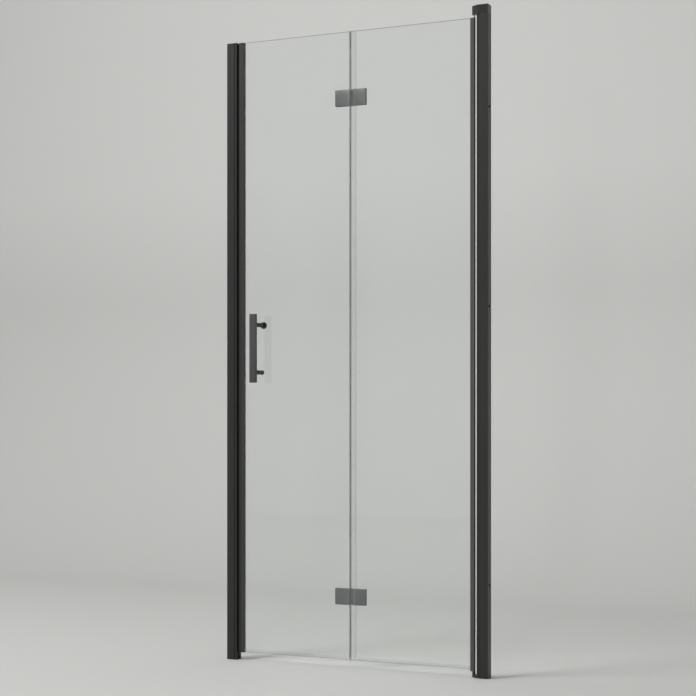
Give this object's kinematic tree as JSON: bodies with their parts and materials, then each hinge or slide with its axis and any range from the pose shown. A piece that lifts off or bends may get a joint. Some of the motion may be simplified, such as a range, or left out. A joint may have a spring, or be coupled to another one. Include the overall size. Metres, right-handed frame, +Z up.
{
  "type": "niche shower door",
  "caption": "Bi-fold niche shower door: clear glass leaves between slim black wall profiles, on a lifting pivot, with inner fold hinges, clear seals and a flat bar handle.",
  "frame": {"origin": "on the pivot axis at floor level, under the bottom bearing block", "axes": "+Z up along the pivot axis, +X across the niche towards the pivot side's wall, -Y out of the shower towards the room"},
  "size_m": [0.88, 0.0808, 2],
  "materials": {
    "black_profile": "matt black powder coat on extruded aluminium",
    "black_cap": "black moulded and die-cast caps, satin",
    "black_handle": "satin black powder coat",
    "black_hinge": "satin black powder coat on cast metal",
    "glass": "clear toughened glass, 6 mm, ground edges",
    "clear_seal": "clear soft extruded vinyl",
    "magnet": "black magnetic rubber strip",
    "black_vinyl": "matt black soft vinyl, extruded",
    "gasket": "grey glazing rubber",
    "steel": "plain stainless steel",
    "bearing_plastic": "black low-friction bearing plastic"
  },
  "bodies": {
    "frame": {"strike_wall_profile": "black_profile", "strike_adjusting_profile": "black_profile", "strike_magnet_strip": "magnet", "strike_top_cap": "black_cap", "pivot_wall_profile": "black_profile", "pivot_adjusting_profile": "black_profile", "top_bearing_cap": "black_cap", "top_bearing_bush": "bearing_plastic", "bottom_bearing_block": "black_cap", "lower_lift_ramp": "bearing_plastic", "strike_clamp_screw_1": "steel", "strike_clamp_screw_2": "steel", "strike_clamp_screw_3": "steel", "pivot_clamp_screw_1": "steel", "pivot_clamp_screw_2": "steel", "pivot_clamp_screw_3": "steel"},
    "pivot_pin": {"lower_pivot_pin": "steel"},
    "pivot_leaf": {"pivot_leaf_glass": "glass", "pivot_profile": "black_profile", "pivot_profile_gasket": "gasket", "pivot_seal_fin": "clear_seal", "upper_pivot_pin": "steel", "upper_lift_ramp": "bearing_plastic", "pivot_leaf_middle_seal": "clear_seal", "pivot_leaf_bottom_seal": "clear_seal", "upper_hinge_pivot_base": "black_hinge", "upper_hinge_pivot_wing": "black_hinge", "upper_hinge_pin": "steel", "upper_hinge_pivot_screw_1": "steel", "upper_hinge_pivot_screw_2": "steel", "lower_hinge_pivot_base": "black_hinge", "lower_hinge_pivot_wing": "black_hinge", "lower_hinge_pin": "steel", "lower_hinge_pivot_screw_1": "steel", "lower_hinge_pivot_screw_2": "steel"},
    "handle_leaf": {"handle_leaf_glass": "glass", "closing_profile": "black_profile", "closing_profile_cap": "black_cap", "closing_profile_gasket": "gasket", "leaf_magnet_carrier": "black_vinyl", "leaf_magnet_strip": "magnet", "handle_leaf_middle_seal": "clear_seal", "handle_leaf_bottom_seal": "clear_seal", "handle_bar": "black_handle", "handle_standoff_upper": "black_handle", "handle_standoff_lower": "black_handle", "handle_washer_upper": "clear_seal", "handle_washer_lower": "clear_seal", "handle_bolt_upper": "steel", "handle_bolt_lower": "steel", "inner_knob": "black_handle", "inner_cap": "black_handle", "upper_hinge_handle_base": "black_hinge", "upper_hinge_handle_wing": "black_hinge", "upper_hinge_handle_screw_1": "steel", "upper_hinge_handle_screw_2": "steel", "lower_hinge_handle_base": "black_hinge", "lower_hinge_handle_wing": "black_hinge", "lower_hinge_handle_screw_1": "steel", "lower_hinge_handle_screw_2": "steel"}
  },
  "joints": [
    {"name": "leaf_pivot", "type": "hinge", "parent": "frame", "child": "pivot_pin", "pos_m": [0, 0, 0], "axis": [0, 0, 1], "range_deg": [0, 90]},
    {"name": "leaf_lift", "type": "slide", "parent": "pivot_pin", "child": "pivot_leaf", "axis": [0, 0, 1], "range_m": [0, 0.006]},
    {"name": "leaf_fold", "type": "hinge", "parent": "pivot_leaf", "child": "handle_leaf", "pos_m": [-0.4045, 0.018, 0], "axis": [0, 0, -1], "range_deg": [0, 180]}
  ],
  "couplings": [
    {"joint": "leaf_lift", "follows": "leaf_pivot", "m_per_rad": 0.0038}
  ]
}
